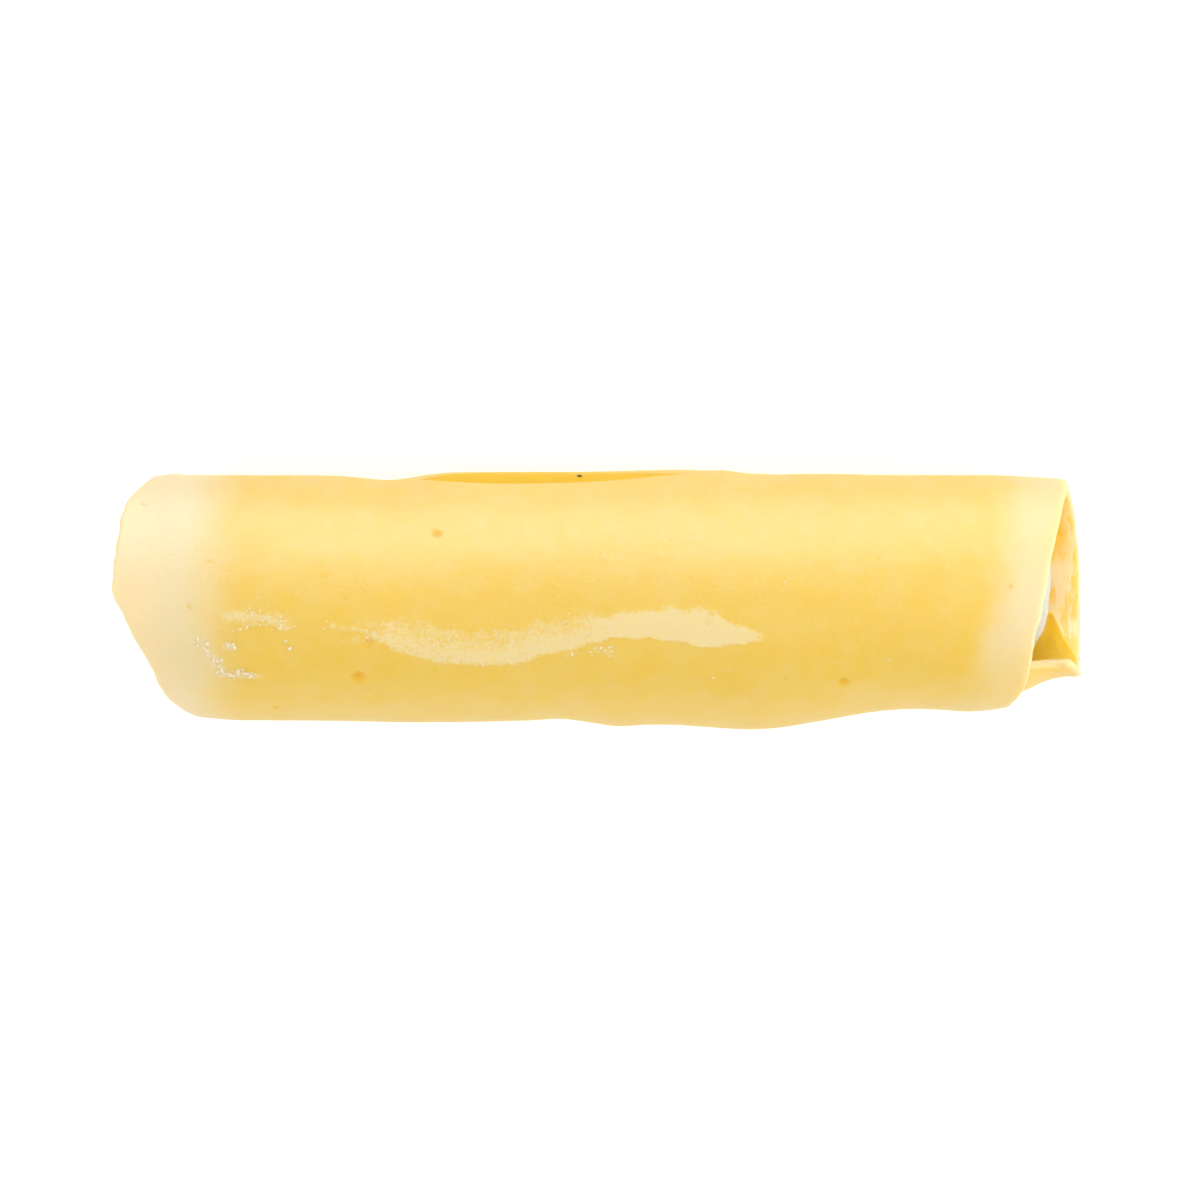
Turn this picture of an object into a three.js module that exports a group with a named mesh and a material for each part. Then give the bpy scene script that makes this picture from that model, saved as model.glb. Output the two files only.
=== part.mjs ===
// One cannellone: a sheet of fresh egg pasta rolled one and two thirds times round a core of soft white cheese.
// Millimetres and degrees. The roll lies along X on its flattened underside at z = 0, +Z is up, and the loose
// edge of the sheet ends high on the +Y side. The origin is the middle of the footprint.
import * as THREE from "three";

// Driving dimensions
const rollLength = 104;
const farHalfWidth = 13.6; // from the axis to the +Y side, where the seam is
const nearHalfWidth = 13.1; // from the axis to the -Y side
const rollHeight = 24.2;
const widestHeight = 11.3; // height of the widest line of the section
const settling = 0.8; // how much of the section the soft roll presses flat
const sheetThickness = 1.1;
const turnGap = 0.4; // free space between one turn of the sheet and the next
const coreGap = 0.5; // free space between the sheet and the cheese core

// How the sheet is wound. Turn angle 0 is the loose outer edge, and the angle grows inwards.
const totalTurn = 606;
const sinkFrom = 330; // the outer turn starts to sink under the loose edge here
const looseEdgeAngle = 7; // section angle of the loose edge over most of the roll, above the +Y side
const seamReach = 80; // turn angle over which the sheet follows the open stretch of its loose edge
const slantReach = 170; // turn angle over which it follows the slanting cut of its inner edge

// The cheese core stops short of both mouths. Its right end leans with the slanting cut of the outer turn.
const coreLeft = -43.5;
const coreRight = 48.4;
const domeLength = 7.5;
const domeFlatness = 2.6; // power of the domes' curve: 2 is round, more is flatter
const rightLean = { by: 0.1, from: 25 }; // millimetres along X for each one along Y, beyond this station
const coreStep = { after: 4, over: 26 }; // degrees past the inner edge over which the core fills out

// Resolution
const turnSteps = 80;
const lengthSteps = 26;
const endCrowding = 0.35; // how much closer together the stations lie near the ends
const coreTurnSteps = 28;
const coreLengthSteps = 20;

const turnPitch = sheetThickness + turnGap;
const halfLength = rollLength / 2;
const innerEdgeTurn = totalTurn - 360;

const blendStep = (from, to, value) => {
  const t = THREE.MathUtils.clamp((value - from) / (to - from), 0, 1);
  return t * t * (3 - 2 * t);
};

// Size of the roll at station x: a base with swells (+) and pinches (-) along it, and tapers towards the ends, which
// are empty of cheese and droop.
function profile(x, { base, swells, tapers }) {
  const swollen = swells.reduce((size, one) => size + one.by * Math.exp(-(((x - one.at) / one.spread) ** 2)), base);
  return tapers.reduce((size, one) => size + one.by * blendStep(one.from, one.to, x), swollen);
}
const farSide = {
  base: farHalfWidth,
  swells: [
    { at: -22.5, spread: 4, by: -0.5 },
    { at: 9, spread: 7, by: 0.4 },
    { at: 24, spread: 5, by: 0.15 },
  ],
  tapers: [
    { from: 41, to: 52, by: -0.45 },
    { from: -42, to: -52, by: -0.25 },
  ],
};
const nearSide = {
  base: nearHalfWidth,
  swells: [
    { at: -19, spread: 9, by: 0.25 },
    { at: 2.5, spread: 5, by: 0.4 },
    { at: 16, spread: 9, by: 0.9 },
    { at: 34, spread: 9, by: -1.2 },
  ],
  tapers: [
    { from: 38, to: 53, by: -2.9 },
    { from: -38, to: -50, by: -0.9 },
  ],
};
const topSide = {
  base: rollHeight,
  swells: [
    { at: -30, spread: 12, by: 0.5 },
    { at: -8, spread: 8, by: -0.3 },
    { at: 16, spread: 12, by: 0.5 },
    { at: 34, spread: 8, by: -0.4 },
  ],
  tapers: [
    { from: 32, to: 52, by: -2.4 },
    { from: -34, to: -52, by: -2.2 },
  ],
};

// A point of the roll: section angle measured from +Y over the top, at a depth under the outer surface. The section
// is an ellipse whose four quarters have their own half-axes. The depth runs along its normal, and nothing goes
// lower than its own depth above the table.
function rollPoint(x, sectionAngle, depth) {
  const cos = Math.cos(THREE.MathUtils.degToRad(sectionAngle));
  const sin = Math.sin(THREE.MathUtils.degToRad(sectionAngle));
  const halfWidth = profile(x, cos > 0 ? farSide : nearSide);
  const halfHeight = sin > 0 ? profile(x, topSide) - widestHeight : widestHeight + settling;
  const normal = new THREE.Vector2(cos / halfWidth, sin / halfHeight).normalize();
  const y = halfWidth * cos - depth * normal.x;
  const z = widestHeight + halfHeight * sin - depth * normal.y;
  return new THREE.Vector3(x, y, Math.max(z, depth));
}

// The two cut ends of the sheet, as [turn angle, x]. Both wander, because the sheet was cut and rolled by hand.
const leftCut = [
  [0, -47.9],
  [14, -49.2],
  [28, -50.6],
  [47, -51.2],
  [70, -51.9],
  [78, -51.75],
  [86, -50.7],
  [99, -49.6],
  [114, -47.9],
  [129, -47],
  [135, -46.5],
  [150, -44.8],
  [158, -43.9],
  [166, -43],
  [180, -43.2],
  [245, -47.4],
  [300, -48.2],
  [335, -46.5],
  [430, -47.6],
  [470, -46.8],
  [500, -44.4],
  [540, -42.8],
  [575, -44.4],
  [totalTurn, -45.4],
];
const rightCut = [
  [0, 49.8],
  [9, 50.1],
  [15, 50.2],
  [34, 49.5],
  [64, 48.25],
  [89, 47.2],
  [114, 46.35],
  [130, 46],
  [144, 45.3],
  [157, 44.5],
  [190, 44.8],
  [197, 47.4],
  [201, 50.2],
  [206, 51.8],
  [212, 52.1],
  [270, 52.15],
  [300, 51.6],
  [325, 50.8],
  [345, 50],
  [385, 48.4],
  [435, 46],
  [478, 45.6],
  [484, 45.8],
  [488, 46.5],
  [491, 47.5],
  [494.5, 48.5],
  [497.5, 49.3],
  [502.5, 50],
  [509.5, 50.5],
  [524, 51.1],
  [539, 51.45],
  [585, 51.9],
  [totalTurn, 51.95],
];

// How many degrees the loose edge runs above its usual angle, as [x, degrees]: the seam stands open here.
const seamLift = [
  [-24, 0],
  [-21.3, 1.5],
  [-18.9, 6.5],
  [-16, 10.8],
  [-13, 13.2],
  [-9, 14],
  [-5, 13.4],
  [0, 12],
  [4, 10],
  [8, 7],
  [12, 5],
  [16, 2.8],
  [21, 0],
];

// How many degrees the inner edge is cut back on a slant at the right mouth, as [x, degrees].
const slantCut = [
  [49.1, 0],
  [49.6, 8],
  [49.9, 18],
  [50.5, 30],
  [51.4, 43],
  [51.8, 58],
  [52.2, 66],
];

// A smooth curve through [position, value] pairs, with each slope taken from the neighbouring pairs. It is level
// beyond the first and the last pair.
function smoothThrough(pairs, position) {
  const last = pairs.length - 1;
  const next = pairs.findIndex((pair) => pair[0] > position);
  const k = next < 0 ? last : Math.max(next, 1);
  const slope = (i) => {
    const before = pairs[Math.max(i - 1, 0)];
    const after = pairs[Math.min(i + 1, last)];
    return (after[1] - before[1]) / (after[0] - before[0]);
  };
  const [x0, y0] = pairs[k - 1];
  const [x1, y1] = pairs[k];
  const span = x1 - x0;
  const t = THREE.MathUtils.clamp((position - x0) / span, 0, 1);
  const ease = t * t * (3 - 2 * t);
  const startSlope = slope(k - 1) * span * t * (1 - t) ** 2;
  const endSlope = slope(k) * span * t * t * (t - 1);
  return y0 + (y1 - y0) * ease + startSlope + endSlope;
}

// Section angle of a turn angle. Each edge shifts only the part of the turn within its reach.
function sectionAngleOf(turn, x) {
  const lifted = smoothThrough(seamLift, x) * (1 - blendStep(0, seamReach, turn));
  const cutBack = smoothThrough(slantCut, x) * blendStep(totalTurn - slantReach, totalTurn, turn);
  return looseEdgeAngle + turn + lifted - cutBack;
}

// Depth of the sheet's outer face: 0 over the outer turn, one pitch once it has passed under the loose edge.
const sheetDepth = (turn, x) => turnPitch * blendStep(sinkFrom, 360, turn - smoothThrough(seamLift, x));

// Sheet coordinates to a point: across runs 0 to 1 inwards round the roll, and along runs 0 to 1 from the left cut
// to the right cut. Each cut shifts the stations in its own fifth of the length.
const cutReach = 0.2;

function sheetPoint(across, along, depthInSheet) {
  const turn = across * totalTurn;
  const station = along - (endCrowding * Math.sin(2 * Math.PI * along)) / (2 * Math.PI);
  const leftShift = (smoothThrough(leftCut, turn) + halfLength) * (1 - blendStep(0, cutReach, station));
  const rightShift = (smoothThrough(rightCut, turn) - halfLength) * blendStep(1 - cutReach, 1, station);
  const x = (station - 0.5) * rollLength + leftShift + rightShift;
  return rollPoint(x, sectionAngleOf(turn, x), sheetDepth(turn, x) + depthInSheet);
}

// The core's surface stays one clearance inside the innermost face of the sheet, so it fills out where only one
// turn of the sheet lies round it.
function coreDepth(x, sectionAngle) {
  const turn = THREE.MathUtils.euclideanModulo(sectionAngle - looseEdgeAngle, 360);
  const stepFrom = innerEdgeTurn + coreStep.after;
  const underInnerTurn = 1 - blendStep(stepFrom, stepFrom + coreStep.over, turn);
  return sheetThickness + coreGap + Math.max(turnPitch * underInnerTurn, sheetDepth(turn, x));
}

function corePoint(sectionAngle, along) {
  const x = THREE.MathUtils.lerp(coreLeft, coreRight, along);
  const toEnd = Math.min(1, (x - coreLeft) / domeLength, (coreRight - x) / domeLength);
  const dome = (1 - (1 - toEnd) ** domeFlatness) ** (1 / domeFlatness);
  const surface = rollPoint(x, sectionAngle, coreDepth(x, sectionAngle));
  const axisHeight = (profile(x, topSide) + sheetThickness) / 2;
  surface.y *= dome;
  surface.z = THREE.MathUtils.lerp(axisHeight, surface.z, dome);
  surface.x += rightLean.by * surface.y * blendStep(rightLean.from, coreRight, x);
  return surface;
}

// A closed slab between two faces given on the same grid: the outer face, the inner face and the four cut edges.
function slabGeometry(outerPoint, innerPoint, steps, rows) {
  const positions = [];
  const index = [];
  const vertexAt = (face, i, j) => face * (steps + 1) * (rows + 1) + i * (rows + 1) + j;
  for (const point of [outerPoint, innerPoint])
    for (let i = 0; i <= steps; i++)
      for (let j = 0; j <= rows; j++) positions.push(...point(i / steps, j / rows).toArray());
  const quad = (a, b, c, d) => index.push(a, b, c, a, c, d);
  for (let i = 0; i < steps; i++)
    for (let j = 0; j < rows; j++) {
      quad(vertexAt(0, i, j), vertexAt(0, i + 1, j), vertexAt(0, i + 1, j + 1), vertexAt(0, i, j + 1));
      quad(vertexAt(1, i, j), vertexAt(1, i, j + 1), vertexAt(1, i + 1, j + 1), vertexAt(1, i + 1, j));
    }
  for (let i = 0; i < steps; i++) {
    quad(vertexAt(0, i, 0), vertexAt(1, i, 0), vertexAt(1, i + 1, 0), vertexAt(0, i + 1, 0));
    quad(vertexAt(0, i, rows), vertexAt(0, i + 1, rows), vertexAt(1, i + 1, rows), vertexAt(1, i, rows));
  }
  for (let j = 0; j < rows; j++) {
    quad(vertexAt(0, 0, j), vertexAt(0, 0, j + 1), vertexAt(1, 0, j + 1), vertexAt(1, 0, j));
    quad(vertexAt(0, steps, j), vertexAt(1, steps, j), vertexAt(1, steps, j + 1), vertexAt(0, steps, j + 1));
  }
  return closedGeometry(positions, index);
}

// A closed loaf of rings round X, with one pole at each end.
function loafGeometry(ringPoint, steps, rows) {
  const positions = [];
  const index = [];
  for (let j = 1; j < rows; j++) {
    const along = (1 - Math.cos((Math.PI * j) / rows)) / 2; // rings crowd towards the domes
    for (let i = 0; i < steps; i++) positions.push(...ringPoint((360 * i) / steps, along).toArray());
  }
  const vertexAt = (i, j) => (j - 1) * steps + (i % steps);
  const leftPole = positions.length / 3;
  const rightPole = leftPole + 1;
  positions.push(...ringPoint(0, 0).toArray(), ...ringPoint(0, 1).toArray());
  for (let i = 0; i < steps; i++) {
    for (let j = 1; j < rows - 1; j++) {
      index.push(vertexAt(i, j), vertexAt(i + 1, j), vertexAt(i + 1, j + 1));
      index.push(vertexAt(i, j), vertexAt(i + 1, j + 1), vertexAt(i, j + 1));
    }
    index.push(leftPole, vertexAt(i + 1, 1), vertexAt(i, 1));
    index.push(rightPole, vertexAt(i, rows - 1), vertexAt(i + 1, rows - 1));
  }
  return closedGeometry(positions, index);
}

function closedGeometry(positions, index) {
  const geometry = new THREE.BufferGeometry();
  geometry.setAttribute("position", new THREE.Float32BufferAttribute(positions, 3));
  geometry.setIndex(index);
  geometry.computeVertexNormals();
  return geometry;
}

function pastaSheet() {
  const outerFace = (across, along) => sheetPoint(across, along, 0);
  const innerFace = (across, along) => sheetPoint(across, along, sheetThickness);
  const geometry = slabGeometry(outerFace, innerFace, turnSteps, lengthSteps);
  const material = new THREE.MeshStandardMaterial({ color: 0xf4cf6e, roughness: 0.55, metalness: 0 });
  const mesh = new THREE.Mesh(geometry, material);
  mesh.name = "pasta_sheet";
  return mesh;
}

function cheeseFilling() {
  const geometry = loafGeometry(corePoint, coreTurnSteps, coreLengthSteps);
  const material = new THREE.MeshStandardMaterial({ color: 0xf3efe2, roughness: 0.8, metalness: 0 });
  const mesh = new THREE.Mesh(geometry, material);
  mesh.name = "cheese_filling";
  return mesh;
}

// The pieces share one frame, and the group is shifted so that its footprint is centred on the origin.
const cannellone = new THREE.Group();
cannellone.add(pastaSheet(), cheeseFilling());
const middle = new THREE.Box3().setFromObject(cannellone).getCenter(new THREE.Vector3());
cannellone.position.set(-middle.x, -middle.y, 0);

export default cannellone;
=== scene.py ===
import bpy
import math
import numpy as np
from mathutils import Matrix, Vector


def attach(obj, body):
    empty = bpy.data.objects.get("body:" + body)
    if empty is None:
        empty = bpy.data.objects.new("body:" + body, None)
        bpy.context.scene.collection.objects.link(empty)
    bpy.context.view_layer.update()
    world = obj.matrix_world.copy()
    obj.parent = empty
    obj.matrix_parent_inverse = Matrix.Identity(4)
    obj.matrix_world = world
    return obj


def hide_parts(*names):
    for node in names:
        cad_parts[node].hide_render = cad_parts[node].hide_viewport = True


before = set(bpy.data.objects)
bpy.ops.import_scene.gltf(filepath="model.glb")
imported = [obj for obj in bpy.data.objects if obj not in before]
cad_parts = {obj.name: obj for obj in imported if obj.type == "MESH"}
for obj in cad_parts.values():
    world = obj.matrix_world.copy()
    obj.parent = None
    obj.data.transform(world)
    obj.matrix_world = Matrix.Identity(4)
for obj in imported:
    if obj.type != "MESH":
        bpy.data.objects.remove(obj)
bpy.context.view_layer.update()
print("frame loaded")

# everything below is worked out in millimetres and turned into metres when a mesh is made
metre = 0.001

roll = {
    "length": 104.0,
    "widest": 11.3,  # height of the widest line of the section
    "settling": 0.8,  # how much of the section the table presses flat
    "footSoftness": 0.16,  # rounding where the flat foot begins
    "sheet": 1.1,  # thickness of the pasta
    "pitch": 1.22,  # one turn of the sheet to the next
    "turn": 606.0,  # degrees from the loose outer edge to the inner edge
    "perDegree": 0.22,  # length of the sheet in one degree of turn
    "sinkFrom": 330.0,  # the sheet sinks by one pitch from here to 360, to pass under its own loose edge
    "looseEdge": 7.0,  # angle of the loose edge above the far side
    "shift": (-0.186, 0.1687, 0),  # from the section's own axis to the middle of the footprint
}
# marks on top are placed along a line 5.6 degrees off vertical: y changes by this for each millimetre of height
markLean = 0.098

# outline of the roll along its length: a base, swells and pinches, and tapers towards the empty ends
farSide = {
    "base": 13.63,
    "swells": [(-22.5, 4, -0.5), (9, 7, 0.4), (24, 5, 0.15), (13.6, 1.6, 0.15), (-45.5, 1.2, 0.2)],
    "tapers": [(41, 52, -0.45), (-42, -52, -0.25)],
}
nearSide = {
    "base": 13.1,
    "swells": [(-19, 9, 0.25), (2.5, 5, 0.4), (16, 9, 0.9), (34, 9, -1.2), (-4, 2.5, -0.2), (2, 2, 0.2), (18, 4, 0.15)],
    "tapers": [(38, 53, -2.9), (44.5, 49, -0.8), (50, 52.2, 0.3), (-38, -50, -0.9)],
}
topSide = {
    "base": 24.2,
    "swells": [(-30, 12, 0.5), (-8, 8, -0.3), (16, 12, 0.5), (34, 8, -0.4)],
    "tapers": [(32, 52, -2.4), (-34, -52, -2.2)],
}
# the loose edge is lifted towards the top along part of the roll: x, then degrees
seamCurve = [(-24, 0), (-21.3, 1.5), (-18.9, 6.5), (-16, 10.8), (-13, 13.2), (-9, 14), (-5, 13.4), (0, 12), (4, 10),
             (8, 7), (12, 5), (16, 2.8), (21, 0)]
seam = {
    "reach": 80,  # degrees over which the lift dies out
    "most": 14,  # the highest lift in the curve above
    "lip": 0.22,  # how far the edge stands off the roll where it is lifted most
    "lipReach": 16,  # degrees over which the lip dies out
}
# the inner edge is cut back towards its right end: x, then degrees
slantCurve = [(49.1, 0), (49.6, 8), (49.9, 18), (50.5, 30), (51.4, 43), (51.8, 58), (52.2, 66)]
slantReach = 170  # degrees of turn over which the slant grows to its full size at the inner edge

# the two cut ends of the sheet: turn angle in degrees, then x
leftCut = [(0, -47.9), (14, -49.2), (28, -50.6), (47, -51.2), (70, -51.9), (78, -51.75), (86, -50.7), (99, -49.6),
           (114, -47.9), (129, -47.0), (135, -46.5), (141, -45.9), (150, -44.8), (158, -43.9), (166, -43.0),
           (180, -43.2), (245, -47.4), (300, -48.2), (335, -46.5), (430, -47.6), (470, -46.8), (500, -44.4),
           (540, -42.8), (575, -44.4), (606, -45.4)]
rightCut = [(0, 49.8), (9, 50.1), (15, 50.2), (34, 49.5), (51, 48.75), (64, 48.25), (76, 47.8), (89, 47.2),
            (102, 46.6), (114, 46.35), (130, 46.0), (144, 45.3), (157, 44.5), (190, 44.8), (197, 47.4), (201, 50.2),
            (206, 51.8), (212, 52.1), (270, 52.15), (300, 51.6), (325, 50.8), (345, 50), (385, 48.4), (435, 46),
            (478, 45.6), (484, 45.8), (488, 46.5), (491, 47.5), (494.5, 48.5), (497.5, 49.3), (502.5, 50.0),
            (509.5, 50.5), (524, 51.1), (539, 51.45), (585, 51.9), (606, 51.95)]
endReach = 0.2  # share of the length at each end that is stretched to meet its cut


def blendStep(start, end, value):
    # 0 before start, 1 after end, and 3t^2 - 2t^3 between them
    t = np.clip((value - start) / (end - start), 0, 1)
    return t * t * (3 - 2 * t)


def smoothThrough(pairs, position):
    # cubic Hermite curve through the pairs, each slope from the pair before to the pair after
    at, value = np.array(pairs, float).T
    before = np.maximum(np.arange(len(at)) - 1, 0)
    after = np.minimum(np.arange(len(at)) + 1, len(at) - 1)
    slope = (value[after] - value[before]) / (at[after] - at[before])
    k = np.clip(np.searchsorted(at, position, side="right"), 1, len(at) - 1)
    span = at[k] - at[k - 1]
    t = np.clip((position - at[k - 1]) / span, 0, 1)
    ease = t * t * (3 - 2 * t)
    rise = slope[k - 1] * span * t * (1 - t) ** 2 + slope[k] * span * t * t * (t - 1)
    return value[k - 1] + (value[k] - value[k - 1]) * ease + rise


def softNoise(points, cell, seed):
    # value noise: random heights on a lattice of that cell size, blended by smoothstep, from -1 to 1
    side = 24  # the lattice repeats after this many cells
    lattice = np.random.default_rng(seed).uniform(-1, 1, (side, side, side))
    place = points / cell + side
    base = np.floor(place).astype(int)
    t = place - base
    t = t * t * (3 - 2 * t)
    total = np.zeros(points.shape[:-1])
    for corner in np.ndindex(2, 2, 2):
        weight = np.prod(np.where(np.array(corner) == 1, t, 1 - t), axis=-1)
        index = (base + corner) % side
        total += weight * lattice[index[..., 0], index[..., 1], index[..., 2]]
    return total


def layeredNoise(points, cell, seed, layers=3):
    # each layer has half the cell and half the height of the one before
    return sum(softNoise(points, cell / 2 ** k, seed + k) / 2 ** k for k in range(layers)) / (2 - 2 ** (1 - layers))


def profile(x, side):
    # base + sum of by * exp(-((x - at) / spread)^2) + sum of by * blendStep
    size = side["base"] + sum(by * np.exp(-(((x - at) / spread) ** 2)) for at, spread, by in side["swells"])
    return size + sum(by * blendStep(start, end, x) for start, end, by in side["tapers"])


def rollPoint(x, angle, depth):
    # ellipse with its own half-axes in each quarter, angle from +Y over the top; depth runs along its normal,
    # and z is softly held above the depth: z = depth + s * ln(1 + e^((z - depth) / s))
    cos, sin = np.cos(np.radians(angle)), np.sin(np.radians(angle))
    halfWidth = np.where(cos > 0, profile(x, farSide), profile(x, nearSide))
    halfHeight = np.where(sin > 0, profile(x, topSide) - roll["widest"], roll["widest"] + roll["settling"])
    normalY, normalZ = cos / halfWidth, sin / halfHeight
    length = np.hypot(normalY, normalZ)
    y = halfWidth * cos - depth * normalY / length
    z = roll["widest"] + halfHeight * sin - depth * normalZ / length
    z = depth + roll["footSoftness"] * np.logaddexp(0, (z - depth) / roll["footSoftness"])
    return np.stack([x, y, z], axis=-1)


def markY(points):
    # y of a point as the marks are placed: y - lean * (z - widest)
    return points[..., 1] - markLean * (points[..., 2] - roll["widest"])


def topPoint(x, mark):
    # outer surface where markY is mark, and its normal: z = widest + halfHeight * sqrt(1 - (y / halfWidth)^2) and
    # y = mark + lean * (z - widest), each worked out from the other in a few passes
    y = np.array(mark, float)
    for _ in range(5):
        halfWidth = np.where(y > 0, profile(x, farSide), profile(x, nearSide))
        cos = np.clip(y / halfWidth, -0.995, 0.995)
        halfHeight = profile(x, topSide) - roll["widest"]
        z = roll["widest"] + halfHeight * np.sqrt(1 - cos * cos)
        y = mark + markLean * (z - roll["widest"])
    normal = np.stack([np.zeros_like(y), cos / halfWidth, np.sqrt(1 - cos * cos) / halfHeight], axis=-1)
    return np.stack([x, y, z], axis=-1), normal / np.linalg.norm(normal, axis=-1, keepdims=True)


def seamLift(x):
    # degrees by which the loose edge is lifted at x
    return smoothThrough(seamCurve, x)


def wrapDepth(turn, x):
    # depth of the sheet's outer face: 0, then pitch * blendStep as it passes under the loose edge
    return roll["pitch"] * blendStep(roll["sinkFrom"], 360, turn - seamLift(x))


def makeMesh(name, points, faces, attributes=None):
    # a smooth mesh at its place, with one number per point for each colour field
    mesh = bpy.data.meshes.new(name)
    mesh.from_pydata(((points.reshape(-1, 3) + roll["shift"]) * metre).tolist(), [], faces)
    mesh.polygons.foreach_set("use_smooth", np.ones(len(mesh.polygons), bool))
    for key, values in (attributes or {}).items():
        mesh.attributes.new(key, "FLOAT", "POINT").data.foreach_set("value", values.astype(np.float32).ravel())
    mesh.validate()
    piece = bpy.data.objects.new(name, mesh)
    bpy.context.scene.collection.objects.link(piece)
    return piece


def gridQuads(rows, columns, start=0, flip=False):
    # quads of a rows x columns grid of vertices numbered row by row
    index = start + np.arange(rows * columns).reshape(rows, columns)
    corners = [index[:-1, :-1], index[1:, :-1], index[1:, 1:], index[:-1, 1:]]
    return np.stack(corners[::-1] if flip else corners, axis=-1).reshape(-1, 4).tolist()


sheetLook = {
    # rows of the mesh: from this turn to that one by this many degrees. Over the top, underneath, under the loose
    # edge, inside, where the inner cut bends in the right mouth, and on to the inner edge
    "rows": [(3, 195, 1.35), (196, 345, 2.9), (346, 378, 1.35), (380, 480, 4.5), (482, 530, 2.0), (533, 602, 4.5)],
    "stations": 262,
    "innerStride": 3,  # the inside face takes every third row and station
    "edgeRound": 0.42,  # radius of the cut edges
    "edgeRows": (0, 0.05, 0.13, 0.25, 0.42),  # distances of the rows that round an edge
    "calm": 0.8,  # all relief dies out over this distance from an edge
    "calmFoot": (1.0, 3.5),  # and between these heights above the table
    "ripple": 0.07,  # height of the slow waves in the surface
    "rippleCell": 7,
    "rippleDrawn": (0.6, 1, 1),  # drawn out along the roll
    "grain": 0.02,
    "grainCell": 1.1,
    "flourHeight": 0.05,
    "wrinkle": 0.132,  # height of the wrinkles on the inside face
    "wrinkleCell": 2.4,
    "wrinkleDrawn": (2.2, 0.7, 1),  # drawn out round the roll
    "slit": {"x": 50.6, "y": 3.4, "halfX": 0.3, "halfY": 1.3, "depth": 0.18},  # a fold inside the right mouth
    "cutWander": 0.13,  # slow unevenness of the two cut ends
    "wanderCell": 5,
    "fray": 0.07,  # fine unevenness of the two cut ends
    "frayCell": 0.9,
}

# small holes left by air bubbles: x, y, diameter
pits = [
    (-25.6, -8.46, 1.7), (-24.5, -9.75, 0.6), (-24.5, -4.73, 1.1), (-21.3, -3.07, 0.8), (-17.2, 6.95, 1.05),
    (-26.9, 0.0, 0.6), (-29.25, 2.3, 0.6), (-34.5, -11.8, 0.8), (-41.4, 4.0, 0.5), (-43.6, -0.9, 0.6),
    (-48.6, 10.1, 0.5), (-5.9, -3.5, 0.6), (11.6, -2.64, 0.85), (-1.7, -5.65, 0.6), (26.2, -8.98, 1.3),
    (29.8, 4.26, 0.5), (44.0, 1.24, 0.6), (20.1, -8.67, 0.6),
]
pitShape = {
    "depth": 0.2,  # of its diameter
    "roundness": 0.8,
    "rim": 0.035,  # height of the raised rim, in diameters
    "rimAt": 1.2,  # in radii, like the next two
    "rimSpread": 0.3,
    # the stain round each pit, partly painted shade where the pit loses the sheen
    "stainShadeReach": 1.15,
    "stainShadeLeast": 0.5,  # darkness of the smallest pit, and what each millimetre of diameter adds
    "stainShadeMore": 0.4,
}
# streak of dried flour along the near shoulder: x, then the y of its middle and its half width
streakMiddle = [(-26.5, -3.1), (-21.3, -3.6), (-16.3, -4.6), (-9.2, -4.8), (-5.8, -4.0), (1.6, -2.9), (8.7, -2.65),
                (14.7, -3.7), (19, -4.2)]
streakHalf = [(-26.5, 0.1), (-21.3, 2.0), (-12.7, 2.1), (-9.2, 2.4), (-2.1, 2.0), (1.6, 1.5), (8.7, 2.15),
              (11.9, 2.05), (14.7, 1.3), (18.6, 0.2)]
# short smears of flour: x, y, half length along x, half width along y, strength
smears = [(-41.7, -5.6, 0.9, 1.6, 0.5), (-40.5, -7.4, 1.0, 0.9, 0.6), (-38.2, -8.3, 2.4, 0.45, 0.7),
          (-36.4, -2.2, 3.8, 1.1, 0.5), (-39.4, -5.2, 1.0, 0.6, 0.7), (6.8, 6.0, 0.8, 2.4, 0.42),
          (1.5, 4.6, 1.6, 0.8, 0.38), (10.8, 6.8, 0.7, 1.4, 0.36), (-25.5, -4.6, 2.4, 0.5, 0.45)]
# rows of flakes in a smear of flour along a line: its points as x and y, how many flakes, how far they stray, width
flakeTrails = [
    ([(-42.6, -4.4), (-41.6, -5.9), (-40.7, -6.7)], 20, 0.28, 0.5),
    ([(-41.2, -6.9), (-39.9, -8.3), (-38.3, -8.1), (-36.4, -8.3)], 34, 0.2, 0.5),
    ([(-39.9, -5.0), (-38.4, -5.3)], 8, 0.25, 0.5),
    ([(-39.6, -1.9), (-37.0, -2.0), (-34.6, -2.4), (-33.4, -2.9)], 40, 0.7, 0.34),
    ([(-38.2, -3.4), (-36.8, -3.0)], 8, 0.4, 0.34),
    ([(-28.5, -2.9), (-25.6, -3.3), (-23.5, -3.9)], 14, 0.35, 0.3),
    ([(-22.0, -5.2), (-17.0, -6.6), (-11.0, -6.9), (-7.0, -5.9)], 26, 0.35, 0.28),
    ([(-3.2, -6.1), (-0.6, -5.6), (1.8, -5.9)], 12, 0.3, 0.34),
]
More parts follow.
